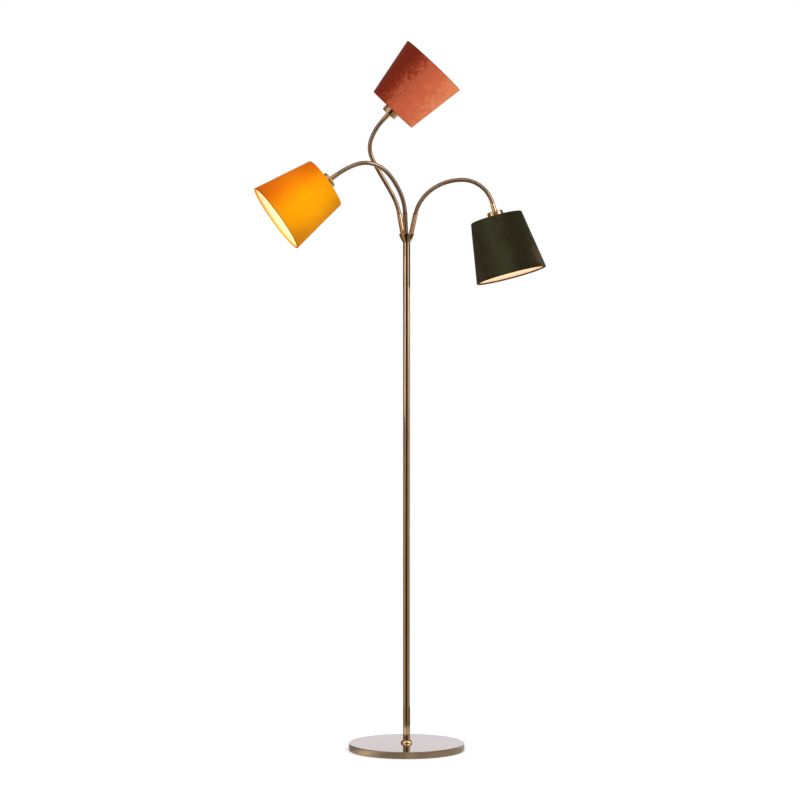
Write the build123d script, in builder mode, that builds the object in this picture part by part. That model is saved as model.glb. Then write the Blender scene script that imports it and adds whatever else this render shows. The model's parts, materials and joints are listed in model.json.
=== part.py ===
from build123d import *
import os
from math import acos, atan2, cos, degrees, hypot, pi, radians, sin

# Tree floor lamp: a weighted round base, a stem in four screwed sections, and a hub with three
# flexible arms, each with a bulb head in a velvet shade. Millimetres, +Z up, the origin on the
# floor under the middle of the base. The front of the lamp faces -Y.

# ---------------------------------------------------------------- driving dimensions
# Base
base_d = 288.0
base_h = 17.5  # floor to the top face
cover_wall = 1.2
cover_lift = 1.0  # the skirt stops this far above the floor
cover_edge_r = 1.5
pad_inset = 9.0  # from the skirt's outside to the pad's edge
pad_thick = 2.0
weight_gap = 0.4  # between the weight and the skirt
pocket_d = 80.0  # wiring pocket under the weight
weight_web = 3.3  # iron left above the pocket
channel_top_web = 2.1  # iron left above the cable channel
washer_d = 30.0
washer_thick = 1.5
foot_nut_flats = 19.0
foot_nut_thick = 3.0
collar_d = 30.0
collar_h = 7.0

# Cable inlet and terminal block
inlet_bore_d = 7.0
grommet_neck_d = 8.6
grommet_flange_d = 11.5
grommet_flange_thick = 1.5
grommet_z = 8.2
block_w = 26.0
block_depth = 14.0
block_h = 10.0
block_y = 20.0  # front face of the block, behind the stem's axis
block_edge_r = 1.0

# Stem
stem_d = 18.0
stem_wall = 1.0
section_len = 380.0
neck_len = 104.0
bush_len = 20.0  # threaded bush inside each end of a section
stem_edge = 0.4  # small chamfer that shows each joint
nipple_d = 13.0
nipple_bore_d = 10.0
nipple_len = 40.0
nipple_tail = 0.5  # below the foot nut
hub_thread_len = 4.5  # how far the top nipple enters the hub

# Hub
hub_d = 38.0
hub_h = 21.5
hub_lip_h = 2.0
hub_lip_step = 0.5
hub_deck = 6.0
hub_wall = 3.0
hub_flare_sag = 1.2  # how far the flare is hollowed
arm_circle_r = 12.0  # radius of the circle on which the arms leave the hub
arm_lean = 13.0  # degrees off vertical
seat_depth = 1.5

# Arms
arm_tube_d = 12.0
arm_tube_len = 51.0  # from the hub's top face
arm_tube_wall = 1.2
arm_tube_plug = 6.0
spigot_d = 8.0
spigot_len = 5.0
flex_d = 10.5
flex_groove = 0.5
flex_bore_d = 6.0
flex_root_d = 10.4  # plain ends that sit in the tube and the ferrule
flex_root_len = 10.0
flex_tail_len = 8.0
link_len = 52.0
ribs_per_link = 20
rib_crest = 0.4  # shares of the pitch: flat crest, then a slope, flat groove and a slope
rib_groove_from = 0.6
rib_groove_to = 0.8
first_rib_from = 0.1  # share of the pitch that the plain root's slope takes
tail_step = 0.1  # slope from the last groove to the plain tail
ball_d = 9.4
ball_gap = 0.1
link_back = 0.6  # a link stops this far before its ball's centre
link_front = 1.4  # the next link starts this far past it
ferrule_d = 12.0
ferrule_len = 20.0
ferrule_edge = 0.5
socket_gap = 0.1  # radial, flex root in tube and ferrule
thread_gap = 0.1  # radial, every screwed fit
slip_gap = 0.2  # radial, parts that slide over one another

# Leads
stem_lead_d = 4.8
stem_lead_bend_r = 7.5
stem_lead_clear = 0.2  # above the pad
splice_d = 12.0
splice_len = 26.0
splice_below_hub = 71.5  # from the hub's underside down to the splice's foot
lead_d = 4.0
lead_circle_r = 2.4  # the three leads side by side in the stem
lead_bend_r = 8.4

# Head, measured along its own axis from the cup's outer face
cup_d = 40.0
cup_len = 26.0
cup_wall = 1.0
cup_edge_r = 3.0
stud_d = 10.0
stud_len = 9.0
holder_boss_d = 18.0
holder_boss_len = 3.0
holder_d = 37.4
holder_thread_d = 38.6
holder_end = 58.0
holder_cavity_d = 26.6
holder_floor = 33.5
holder_wire_d = 4.6
holder_wire_end = 13.0
shade_ring_d = 48.0
shade_ring_len = 8.0
shade_ring_flange = 2.0
shade_ring_notches = 12
notch_r = 1.6

# Shade
shade_narrow_d = 130.0
shade_wide_d = 178.0
shade_len = 150.0
shade_start = 15.0  # the narrow edge, along the head's axis
fabric_thick = 0.8
liner_thick = 0.5
liner_gap = 0.05
hem_len = 5.0
fold_edge_r = 0.6  # rounding where the velvet folds over
wire_d = 2.4
wire_gap = 0.1
fitter_thick = 1.5
spoke_d = 2.4
spoke_count = 3

# Bulb
bulb_d = 60.0
bulb_glass = 0.8
bulb_cap_d = 26.0
bulb_cap_len = 27.0
bulb_contact_d = 9.0
bulb_contact_len = 2.5
bulb_globe_from_cap = 51.0  # cap's top to the globe's centre
bulb_neck_d = 24.0
bulb_shoulder = 25.0  # degrees below the globe's middle where the neck's curve meets it

# Each arm leaves the hub at its own bearing and bends by whole degrees from link to link:
# in the arm's own plane, and sideways out of it.
arms = {
    "left": dict(
        bearing=260.0, inward=Vector(-1, 0, 0), bend=(21, 12, 27, 40, 13), side=(8, 10, 11, 8, 7)
    ),
    "top": dict(
        bearing=140.0, inward=Vector(-1, 0, 0), bend=(19, 3, -6, -47, -21), side=(11, 4, 2, 3, 2)
    ),
    "right": dict(
        bearing=20.0, inward=Vector(1, 0, 0), bend=(30, 26, 22, 39, 36), side=(-6, -3, 1, -1, -3)
    ),
}

# ---------------------------------------------------------------- worked-out places
cover_inner_r = base_d / 2 - cover_wall
weight_r = cover_inner_r - weight_gap
weight_top = base_h - cover_wall
pocket_top = weight_top - weight_web
washer_z = pocket_top - washer_thick
foot_nut_z = washer_z - foot_nut_thick
channel_w = grommet_flange_d + 2 * slip_gap
thread_r = nipple_d / 2 + thread_gap

stem_joints = [base_h + section_len * i for i in range(4)]
hub_z = stem_joints[-1] + neck_len
hub_top = hub_z + hub_h
splice_z = hub_z - splice_below_hub
nipple_starts = [foot_nut_z - nipple_tail]
nipple_starts += [z - nipple_len / 2 for z in stem_joints[1:]]
nipple_starts += [hub_z + hub_thread_len - nipple_len]

flex_r = flex_d / 2
valley_r = flex_r - flex_groove
ball_r = ball_d / 2

shade_end = shade_start + shade_len
fold = fabric_thick + liner_thick + wire_d + 2 * wire_gap + fabric_thick
wire_s = fabric_thick + wire_gap + wire_d / 2  # wire's centre from the shade's edge
wire_inset = wire_s + liner_thick  # and from its outer surface
fitter_z = cup_len
fitter_r = shade_ring_d / 2 + spoke_d  # the spokes start clear of the ring nut
shade_ring_z = fitter_z + fitter_thick
bulb_cap_z = holder_floor + bulb_contact_len
bulb_cap_top = holder_floor + bulb_cap_len
bulb_globe_z = bulb_cap_top + bulb_globe_from_cap

os.makedirs("parts", exist_ok=True)


# ---------------------------------------------------------------- helpers
def save(piece, name):
    """Labels a finished piece and writes it to its own file."""
    piece.label = name
    export_step(piece, f"parts/{name}.step")


def turned(points):
    """The solid that a closed outline of (radius, height) points turns about Z."""
    with BuildPart(mode=Mode.PRIVATE) as solid:
        with BuildSketch(Plane.XZ):
            with BuildLine():
                Polyline(*points, close=True)
            make_face()
        revolve(axis=Axis.Z)
    return solid.part


def shade_r(s, inset=0.0):
    """Outer radius of the shade at s along the head's axis, less a radial inset."""
    slope = (shade_wide_d - shade_narrow_d) / 2 / shade_len
    return shade_narrow_d / 2 + slope * (s - shade_start) - inset


def on_link(start, bend, side, s):
    """The plane square to a link's arc at s from its start, with no twist about the arc."""
    turn = radians(hypot(bend, side))
    radius = link_len / turn
    angle = s / radius
    heading = degrees(atan2(side, bend))
    spot = (radius * (1 - cos(angle)), 0, radius * sin(angle))
    spin = Location((0, 0, 0), (0, 0, heading))
    arc = Location(spot, (0, degrees(angle), 0))
    return Plane(start.location * spin * arc * spin.inverse())


def tube_base(arm):
    """The plane where an arm's axis meets the hub's top face, square to the axis."""
    bearing = radians(arm["bearing"])
    lean = radians(arm_lean)
    outward = Vector(cos(bearing), sin(bearing), 0)
    axis = outward * sin(lean) + Vector(0, 0, 1) * cos(lean)
    across = axis.cross(arm["inward"])
    spot = outward * arm_circle_r + Vector(0, 0, hub_top)
    return Plane(origin=spot, x_dir=across.cross(axis), z_dir=axis)


def link_planes(arm):
    """The planes at an arm's tube top and at the end of each of its links."""
    planes = [tube_base(arm).offset(arm_tube_len)]
    for bend, side in zip(arm["bend"], arm["side"]):
        planes.append(on_link(planes[-1], bend, side, link_len))
    return planes


def head_plane(arm):
    """The plane on the cup's outer face, its normal along the head's axis."""
    return link_planes(arm)[-1].offset(ferrule_len)


# ---------------------------------------------------------------- base
with BuildPart() as base_pad:
    Cylinder(base_d / 2 - pad_inset, pad_thick, align=(Align.CENTER, Align.CENTER, Align.MIN))
save(base_pad.part, "base_pad")

with BuildPart() as base_weight:
    with BuildSketch(Plane.XY.offset(pad_thick)):
        Circle(weight_r)
        Circle(thread_r, mode=Mode.SUBTRACT)
    extrude(amount=weight_top - pad_thick)
    with BuildSketch(Plane.XY.offset(pad_thick)):
        Circle(pocket_d / 2)
    extrude(amount=pocket_top - pad_thick, mode=Mode.SUBTRACT)
    with BuildSketch(Plane.XY.offset(pad_thick)):
        Rectangle(channel_w, base_d / 2, align=(Align.CENTER, Align.MIN))
    extrude(amount=weight_top - channel_top_web - pad_thick, mode=Mode.SUBTRACT)
save(base_weight.part, "base_weight")

with BuildPart() as base_cover:
    with BuildSketch(Plane.XY.offset(cover_lift)):
        Circle(base_d / 2)
    extrude(amount=base_h - cover_lift)
    fillet(base_cover.edges().filter_by(GeomType.CIRCLE).sort_by(Axis.Z)[-1], cover_edge_r)
    with BuildSketch(Plane.XY.offset(cover_lift)):
        Circle(cover_inner_r)
    extrude(amount=weight_top - cover_lift, mode=Mode.SUBTRACT)
    with BuildSketch(Plane.XY.offset(weight_top)):
        Circle(thread_r)
    extrude(amount=cover_wall, mode=Mode.SUBTRACT)
    with BuildSketch(Plane.XZ.offset(-base_d / 2)):
        with Locations((0, grommet_z)):
            Circle(grommet_neck_d / 2 + thread_gap)
    extrude(amount=2 * cover_wall, mode=Mode.SUBTRACT)
save(base_cover.part, "base_cover")

with BuildPart() as foot_fasteners:
    with BuildSketch(Plane.XY.offset(washer_z)):
        Circle(washer_d / 2)
        Circle(thread_r, mode=Mode.SUBTRACT)
    extrude(amount=washer_thick)
    with BuildSketch(Plane.XY.offset(foot_nut_z)):
        RegularPolygon(foot_nut_flats / 2, 6, major_radius=False)
        Circle(thread_r, mode=Mode.SUBTRACT)
    extrude(amount=foot_nut_thick, mode=Mode.ADD)
save(foot_fasteners.part, "foot_fasteners")

with BuildPart() as stem_collar:
    with BuildSketch(Plane.XZ):
        with BuildLine():
            inner_r = stem_d / 2 + slip_gap
            shoulder = EllipticalCenterArc(
                (inner_r, base_h), collar_d / 2 - inner_r, collar_h, start_angle=0, arc_size=90
            )
            Polyline(shoulder @ 1, (inner_r, base_h), shoulder @ 0)
        make_face()
    revolve(axis=Axis.Z)
save(stem_collar.part, "stem_collar")

with BuildPart() as cable_grommet:
    # Neck through the skirt, with a flange on each side of it.
    seat_sag = cover_inner_r - (cover_inner_r**2 - (grommet_flange_d / 2) ** 2) ** 0.5
    inner_face = cover_inner_r - seat_sag - thread_gap
    outer_face = base_d / 2 + thread_gap
    with BuildSketch(Plane.XZ.offset(-inner_face)):
        with Locations((0, grommet_z)):
            Circle(grommet_neck_d / 2)
    extrude(amount=-(outer_face - inner_face))
    with BuildSketch(Plane.XZ.offset(-outer_face)):
        with Locations((0, grommet_z)):
            Circle(grommet_flange_d / 2)
    extrude(amount=-grommet_flange_thick)
    with BuildSketch(Plane.XZ.offset(-inner_face)):
        with Locations((0, grommet_z)):
            Circle(grommet_flange_d / 2)
    extrude(amount=grommet_flange_thick)
    with BuildSketch(Plane.XZ.offset(-inner_face + grommet_flange_thick)):
        with Locations((0, grommet_z)):
            Circle(inlet_bore_d / 2)
    extrude(amount=-(outer_face - inner_face + 2 * grommet_flange_thick), mode=Mode.SUBTRACT)
save(cable_grommet.part, "cable_grommet")

with BuildPart() as terminal_block:
    with BuildSketch(Plane.XY.offset(pad_thick)):
        with Locations((0, block_y + block_depth / 2)):
            Rectangle(block_w, block_depth)
    extrude(amount=block_h)
    fillet(terminal_block.edges().filter_by(Axis.Z), block_edge_r)
save(terminal_block.part, "terminal_block")

# ---------------------------------------------------------------- stem
stem_r = stem_d / 2
stem_inner_r = stem_r - stem_wall


def stem_section(start, length):
    """A tube with a threaded bush in each end and a small chamfer at each rim."""
    end = start + length
    return turned(
        [
            (thread_r, start),
            (stem_r - stem_edge, start),
            (stem_r, start + stem_edge),
            (stem_r, end - stem_edge),
            (stem_r - stem_edge, end),
            (thread_r, end),
            (thread_r, end - bush_len),
            (stem_inner_r, end - bush_len),
            (stem_inner_r, start + bush_len),
            (thread_r, start + bush_len),
        ]
    )


for name, start in zip(("stem_lower", "stem_middle", "stem_upper"), stem_joints):
    save(stem_section(start, section_len), name)
save(stem_section(stem_joints[-1], neck_len), "stem_neck")

with BuildPart() as stem_nipples:
    for start in nipple_starts:
        with BuildSketch(Plane.XY.offset(start)):
            Circle(nipple_d / 2)
            Circle(nipple_bore_d / 2, mode=Mode.SUBTRACT)
        extrude(amount=nipple_len)
save(stem_nipples.part, "stem_nipples")

# ---------------------------------------------------------------- hub
with BuildPart() as hub:
    lip_z = hub_top - hub_lip_h
    flare_end_r = hub_d / 2 - hub_lip_step
    with BuildSketch(Plane.XZ):
        with BuildLine():
            SagittaArc((stem_r, hub_z), (flare_end_r, lip_z), -hub_flare_sag)
            Polyline(
                (flare_end_r, lip_z),
                (hub_d / 2, lip_z),
                (hub_d / 2, hub_top),
                (0, hub_top),
                (0, hub_z),
                (stem_r, hub_z),
            )
        make_face()
    revolve(axis=Axis.Z)
    # Threaded entry for the top nipple, and the cone where the leads part.
    with BuildSketch(Plane.XY.offset(hub_z)):
        Circle(thread_r)
    extrude(amount=hub_thread_len + thread_gap, mode=Mode.SUBTRACT)
    with BuildSketch(Plane.XY.offset(hub_z + hub_thread_len)):
        Circle(thread_r)
    with BuildSketch(Plane.XY.offset(hub_top - hub_deck)):
        Circle(flare_end_r - hub_wall - hub_flare_sag)
    loft(mode=Mode.SUBTRACT)
    # Seats and holes for the arm tubes.
    for arm in arms.values():
        seat = tube_base(arm).offset(-seat_depth)
        with BuildSketch(seat):
            Circle(arm_tube_d / 2 + thread_gap)
        extrude(amount=hub_deck, mode=Mode.SUBTRACT)
        with BuildSketch(seat):
            Circle(spigot_d / 2 + thread_gap)
        extrude(amount=-hub_deck, mode=Mode.SUBTRACT)
save(hub.part, "hub")


# ---------------------------------------------------------------- arms
def make_arm_tube(base):
    """A tube with a plug and spigot at its foot and a socket for the flex at its top."""
    foot = -seat_depth
    outer = arm_tube_d / 2
    inner = outer - arm_tube_wall
    socket = flex_root_d / 2 + socket_gap
    socket_z = arm_tube_len - flex_root_len
    bore = lead_d / 2 + slip_gap
    profile = [
        (bore, foot - spigot_len),
        (spigot_d / 2, foot - spigot_len),
        (spigot_d / 2, foot),
        (outer, foot),
        (outer, arm_tube_len - stem_edge),
        (outer - stem_edge, arm_tube_len),
        (socket, arm_tube_len),
        (socket, socket_z),
        (inner, socket_z),
        (inner, foot + arm_tube_plug),
        (bore, foot + arm_tube_plug),
    ]
    return turned(profile).moved(base.location)


def make_flex_link(planes, arm, index):
    """One link of the ribbed gooseneck: ball at its far end, cup at its near end, bore through."""
    start = planes[index]
    bend = arm["bend"][index]
    side = arm["side"][index]
    first = index == 0
    last = index == len(arm["bend"]) - 1
    rib_from = 0.0 if first else link_front
    rib_to = link_len if last else link_len - link_back
    pitch = (rib_to - rib_from) / (ribs_per_link - 1 + rib_groove_to)
    rib = ((0.0, flex_r), (rib_crest, flex_r), (rib_groove_from, valley_r), (rib_groove_to, valley_r))
    far = on_link(start, bend, side, link_len)
    with BuildPart() as link:
        if first:
            for s in (-flex_root_len, 0.0):
                with BuildSketch(start.offset(s)):
                    Circle(flex_root_d / 2)
        for count in range(ribs_per_link):
            for share, radius in rib:
                if first and count == 0:
                    share = max(share, first_rib_from)
                with BuildSketch(on_link(start, bend, side, rib_from + pitch * (count + share))):
                    Circle(radius)
        if last:
            for s in (tail_step, flex_tail_len):
                with BuildSketch(far.offset(s)):
                    Circle(flex_root_d / 2)
        loft(ruled=True)
        if not last:
            with Locations(far.location):
                Sphere(ball_r)
        if not first:
            with Locations(start.location):
                Sphere(ball_r + ball_gap, mode=Mode.SUBTRACT)
        bore_from = start.offset(-flex_root_len) if first else start
        bore_to = far.offset(flex_tail_len if last else ball_r)
        with BuildLine() as route:
            if first:
                Line(bore_from.origin, start.origin)
            middle = on_link(start, bend, side, link_len / 2)
            ThreePointArc(start.origin, middle.origin, far.origin)
            Line(far.origin, bore_to.origin)
        with BuildSketch(bore_from):
            Circle(flex_bore_d / 2)
        sweep(path=route.wire(), mode=Mode.SUBTRACT)
    return link.part


def make_ferrule():
    """Sleeve over the flex's end, with a stud that passes through the cup into the holder."""
    outer = ferrule_d / 2
    socket = flex_root_d / 2 + socket_gap
    bore = flex_bore_d / 2
    return turned(
        [
            (socket, -ferrule_len),
            (outer - ferrule_edge, -ferrule_len),
            (outer, ferrule_edge - ferrule_len),
            (outer, 0),
            (stud_d / 2, 0),
            (stud_d / 2, stud_len),
            (bore, stud_len),
            (bore, flex_tail_len - ferrule_len),
            (socket, flex_tail_len - ferrule_len),
        ]
    )


def make_lead(arm):
    """One arm's lead, from the splice up the stem, through the hub and the arm to the holder."""
    planes = link_planes(arm)
    head = head_plane(arm)
    bearing = radians(arm["bearing"])
    outward = Vector(cos(bearing), sin(bearing), 0)
    lean = radians(arm_lean)
    exit_s = -(seat_depth + spigot_len)
    exit_r = arm_circle_r + exit_s * sin(lean)
    exit_z = hub_top + exit_s * cos(lean)
    swing = acos((1 + cos(lean) - (exit_r - lead_circle_r) / lead_bend_r) / 2)
    turn_z = exit_z - lead_bend_r * (2 * sin(swing) - sin(lean))

    def in_hub(r, z):
        return outward * r + Vector(0, 0, z)

    def first_arc(angle):
        r = lead_circle_r + lead_bend_r * (1 - cos(angle))
        return in_hub(r, turn_z + lead_bend_r * sin(angle))

    def second_arc(angle):
        r = exit_r - lead_bend_r * (cos(lean) - cos(angle))
        return in_hub(r, exit_z - lead_bend_r * (sin(angle) - sin(lean)))

    foot = in_hub(lead_circle_r, splice_z + splice_len)
    with BuildPart() as lead:
        with BuildLine() as route:
            Line(foot, first_arc(0))
            ThreePointArc(first_arc(0), first_arc(swing / 2), first_arc(swing))
            ThreePointArc(first_arc(swing), second_arc((swing + lean) / 2), second_arc(lean))
            Line(second_arc(lean), planes[0].origin)
            for index, start in enumerate(planes[:-1]):
                bend = arm["bend"][index]
                side = arm["side"][index]
                middle = on_link(start, bend, side, link_len / 2)
                ThreePointArc(start.origin, middle.origin, planes[index + 1].origin)
            Line(planes[-1].origin, head.offset(holder_wire_end).origin)
        with BuildSketch(Plane(origin=foot, z_dir=(0, 0, 1))):
            Circle(lead_d / 2)
        sweep(path=route.wire())
    expected = pi * lead_d**2 / 4 * route.wire().length
    print("lead length", round(route.wire().length), "volume share", lead.part.volume / expected)
    return lead.part


# ---------------------------------------------------------------- head
def make_cup():
    """Metal cup that covers the lampholder's back."""
    with BuildPart() as cup:
        Cylinder(cup_d / 2, cup_len, align=(Align.CENTER, Align.CENTER, Align.MIN))
        fillet(cup.edges().filter_by(GeomType.CIRCLE).sort_by(Axis.Z)[0], cup_edge_r)
        mouth = cup.faces().sort_by(Axis.Z)[-1]
        offset(amount=-cup_wall, openings=mouth)
        with BuildSketch(Plane.XY):
            Circle(stud_d / 2 + thread_gap)
        extrude(amount=cup_wall, mode=Mode.SUBTRACT)
    return cup.part


def make_holder():
    """Lampholder with a boss on the cup's floor, a threaded skirt and the bulb's cavity."""
    boss_top = cup_wall + holder_boss_len
    skirt_z = cup_len + slip_gap
    return turned(
        [
            (stud_d / 2 + thread_gap, cup_wall),
            (holder_boss_d / 2, cup_wall),
            (holder_boss_d / 2, boss_top),
            (holder_d / 2, boss_top),
            (holder_d / 2, skirt_z),
            (holder_thread_d / 2, skirt_z),
            (holder_thread_d / 2, holder_end),
            (holder_cavity_d / 2, holder_end),
            (holder_cavity_d / 2, holder_floor),
            (0, holder_floor),
            (0, holder_wire_end),
            (holder_wire_d / 2, holder_wire_end),
            (holder_wire_d / 2, stud_len),
            (stud_d / 2 + thread_gap, stud_len),
        ]
    )


def make_shade_ring():
    """Ring nut that clamps the shade's fitter against the cup, with finger notches."""
    with BuildPart() as ring:
        with BuildSketch(Plane.XY.offset(shade_ring_z)):
            Circle(shade_ring_d / 2)
            Circle(holder_thread_d / 2 + thread_gap, mode=Mode.SUBTRACT)
        extrude(amount=shade_ring_len)
        with BuildSketch(Plane.XY.offset(shade_ring_z + shade_ring_flange)):
            with PolarLocations(shade_ring_d / 2, shade_ring_notches):
                Circle(notch_r)
        extrude(amount=shade_ring_len, mode=Mode.SUBTRACT)
    return ring.part


def spokes(radius):
    """The spokes' rods, or with a larger radius the clearance round them."""
    ring_s = shade_start + wire_s
    on_fitter = Vector(fitter_r - spoke_d / 2, 0, fitter_z + fitter_thick / 2)
    on_ring = Vector(shade_r(ring_s, wire_inset), 0, ring_s)
    with BuildPart(mode=Mode.PRIVATE) as rods:
        for count in range(spoke_count):
            turn = 360 / spoke_count * count
            foot = on_fitter.rotate(Axis.Z, turn)
            reach = on_ring.rotate(Axis.Z, turn) - foot
            with BuildSketch(Plane(origin=foot, z_dir=reach)):
                Circle(radius)
            extrude(amount=reach.length)
    return rods.part


def make_shade_frame():
    """Wire rings at both edges of the shade, with spokes from the fitter to the narrow one."""
    with BuildPart() as frame:
        with BuildSketch(Plane.XY.offset(fitter_z)):
            Circle(fitter_r)
            Circle(holder_thread_d / 2 + 2 * slip_gap, mode=Mode.SUBTRACT)
        extrude(amount=fitter_thick)
        add(spokes(spoke_d / 2))
        for s in (shade_start + wire_s, shade_end - wire_s):
            with BuildSketch(Plane.XZ):
                with Locations((shade_r(s, wire_inset), s)):
                    Circle(wire_d / 2)
            revolve(axis=Axis.Z)
    return frame.part


def make_fabric():
    """Velvet cone, folded inwards over the wire ring at each edge."""
    low = shade_start
    high = shade_end
    skin = fabric_thick
    pocket = fold - fabric_thick
    profile = [
        (shade_r(low), low),
        (shade_r(high), high),
        (shade_r(high, fold), high),
        (shade_r(high - hem_len, fold), high - hem_len),
        (shade_r(high - hem_len, pocket), high - hem_len),
        (shade_r(high - skin, pocket), high - skin),
        (shade_r(high - skin, skin), high - skin),
        (shade_r(low + skin, skin), low + skin),
        (shade_r(low + skin, pocket), low + skin),
        (shade_r(low + hem_len, pocket), low + hem_len),
        (shade_r(low + hem_len, fold), low + hem_len),
        (shade_r(low, fold), low),
    ]
    with BuildPart() as fabric:
        add(turned(profile))
        rims = fabric.edges().filter_by(GeomType.CIRCLE).group_by(Axis.Z)
        fillet(rims[0] + rims[-1], fold_edge_r)
        add(spokes(spoke_d / 2 + wire_gap), mode=Mode.SUBTRACT)
    return fabric.part


def make_liner():
    """Stiff lining behind the velvet, from fold to fold."""
    low = shade_start + fabric_thick + liner_gap
    high = shade_end - fabric_thick - liner_gap
    near = fabric_thick + liner_gap
    far = fabric_thick + liner_thick
    return turned(
        [
            (shade_r(low, near), low),
            (shade_r(high, near), high),
            (shade_r(high, far), high),
            (shade_r(low, far), low),
        ]
    )


def make_bulb():
    """Screw-base bulb: a solid cap with its contact, and a thin globe that stands on it."""
    contact_r = bulb_contact_d / 2
    cap_r = bulb_cap_d / 2
    globe_r = bulb_d / 2
    cap = [
        (0, holder_floor),
        (contact_r, holder_floor),
        (cap_r, bulb_cap_z),
        (cap_r, bulb_cap_top),
        (0, bulb_cap_top),
    ]
    low = radians(bulb_shoulder)
    half = radians(90 - bulb_shoulder) / 2
    with BuildPart() as bulb:
        add(turned(cap))
        for inset, mode in ((0.0, Mode.ADD), (bulb_glass, Mode.SUBTRACT)):
            neck_r = bulb_neck_d / 2 - inset
            ball = globe_r - inset
            with BuildSketch(Plane.XZ):
                with BuildLine():
                    shoulder = (ball * cos(low), bulb_globe_z - ball * sin(low))
                    Polyline((0, bulb_globe_z + ball), (0, bulb_cap_top), (neck_r, bulb_cap_top))
                    Spline(
                        (neck_r, bulb_cap_top),
                        shoulder,
                        tangents=((0, 1), (sin(low), cos(low))),
                    )
                    ThreePointArc(
                        shoulder,
                        (ball * cos(half), bulb_globe_z + ball * sin(half)),
                        (0, bulb_globe_z + ball),
                    )
                make_face()
            revolve(axis=Axis.Z, mode=mode)
    return bulb.part


head_pieces = {
    "ferrule": make_ferrule(),
    "cup": make_cup(),
    "lampholder": make_holder(),
    "shade_ring": make_shade_ring(),
    "shade_frame": make_shade_frame(),
    "shade_fabric": make_fabric(),
    "shade_liner": make_liner(),
    "bulb": make_bulb(),
}

for arm_name, arm in arms.items():
    save(make_arm_tube(tube_base(arm)), f"{arm_name}_arm_tube")
    planes = link_planes(arm)
    for index in range(len(arm["bend"])):
        save(make_flex_link(planes, arm, index), f"{arm_name}_flex_{index + 1}")
    save(make_lead(arm), f"{arm_name}_lead")
    for piece_name, piece in head_pieces.items():
        save(piece.moved(head_plane(arm).location), f"{arm_name}_{piece_name}")

# ---------------------------------------------------------------- lead in the stem
with BuildPart() as stem_lead:
    level = pad_thick + stem_lead_clear + stem_lead_d / 2
    bend = stem_lead_bend_r
    with BuildLine() as route:
        Line((0, block_y, level), (0, bend, level))
        TangentArc((0, bend, level), (0, 0, level + bend), tangent=(0, -1, 0))
        Line((0, 0, level + bend), (0, 0, splice_z))
    with BuildSketch(Plane(origin=(0, block_y, level), z_dir=(0, -1, 0))):
        Circle(stem_lead_d / 2)
    sweep(path=route.wire())
    with BuildSketch(Plane.XY.offset(splice_z)):
        Circle(splice_d / 2)
    extrude(amount=splice_len)
save(stem_lead.part, "stem_lead")
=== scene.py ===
# Looks of the tree floor lamp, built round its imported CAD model. Metres, +Z up, the origin on
# the floor under the middle of the base, and the front of the lamp faces -Y.
import json
from math import atan2, cos, hypot, pi, radians, sin, tau

import bpy
import numpy as np
from mathutils import Matrix, Vector

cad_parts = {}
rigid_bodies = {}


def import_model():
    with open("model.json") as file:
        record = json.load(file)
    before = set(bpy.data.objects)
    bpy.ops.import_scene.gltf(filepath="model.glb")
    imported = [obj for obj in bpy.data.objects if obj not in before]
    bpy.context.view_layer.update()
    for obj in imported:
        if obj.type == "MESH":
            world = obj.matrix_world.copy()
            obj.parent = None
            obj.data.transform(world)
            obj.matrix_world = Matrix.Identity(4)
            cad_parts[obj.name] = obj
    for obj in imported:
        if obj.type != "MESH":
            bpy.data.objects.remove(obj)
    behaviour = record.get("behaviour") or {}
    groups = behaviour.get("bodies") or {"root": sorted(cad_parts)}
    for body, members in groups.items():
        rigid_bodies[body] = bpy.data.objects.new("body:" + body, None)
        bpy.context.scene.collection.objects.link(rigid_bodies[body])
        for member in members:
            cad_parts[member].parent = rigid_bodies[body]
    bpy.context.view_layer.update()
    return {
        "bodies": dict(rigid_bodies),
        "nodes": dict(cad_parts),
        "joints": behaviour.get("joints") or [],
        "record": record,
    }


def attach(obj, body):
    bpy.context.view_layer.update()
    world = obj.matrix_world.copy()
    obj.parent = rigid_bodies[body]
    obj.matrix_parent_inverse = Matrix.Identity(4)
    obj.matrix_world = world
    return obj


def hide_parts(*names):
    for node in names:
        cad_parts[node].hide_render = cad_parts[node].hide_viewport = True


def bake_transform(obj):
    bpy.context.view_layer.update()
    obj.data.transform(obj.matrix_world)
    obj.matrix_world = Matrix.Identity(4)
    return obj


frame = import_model()
nodes = frame["nodes"]

# ---------------------------------------------------------------- sizes shared with the CAD
HUB_TOP = 1.283
SPLICE_TOP = 1.216
ARM_CIRCLE_R = 0.012
ARM_LEAN = radians(13)
ARM_TUBE_LEN = 0.051
ARM_TUBE_R = 0.006
LINK_LEN = 0.052
LINKS = 5
FLEX_R = 0.00525
RIBS_PER_LINK = 20
PITCH = LINK_LEN / RIBS_PER_LINK
ROOT_IN_TUBE = 0.0095
TAIL_IN_FERRULE = 0.0075
FERRULE_LEN = 0.020
LEAD_R = 0.002
LEAD_CIRCLE_R = 0.0024
LEAD_BEND_BELOW_TOP = 0.028
HOLDER_WIRE_END = 0.013

NARROW_R = 0.065
WIDE_R = 0.089
SHADE_LOW = 0.015
SHADE_HIGH = 0.165
SLOPE = (WIDE_R - NARROW_R) / (SHADE_HIGH - SHADE_LOW)
MEAN_R = (WIDE_R + NARROW_R) / 2
SKIN = 0.0008  # the velvet's thickness
LINER = 0.0005

HOLDER_FLOOR = 0.0335
CAP_R = 0.013
CAP_LEN = 0.027
CONTACT_LEN = 0.0025
CONTACT_R = 0.0045
GLOBE_R = 0.030
GLOBE_S = HOLDER_FLOOR + CAP_LEN + 0.051
BULB_NECK_R = 0.012
PAD_R = 0.135
PAD_THICK = 0.002

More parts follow.
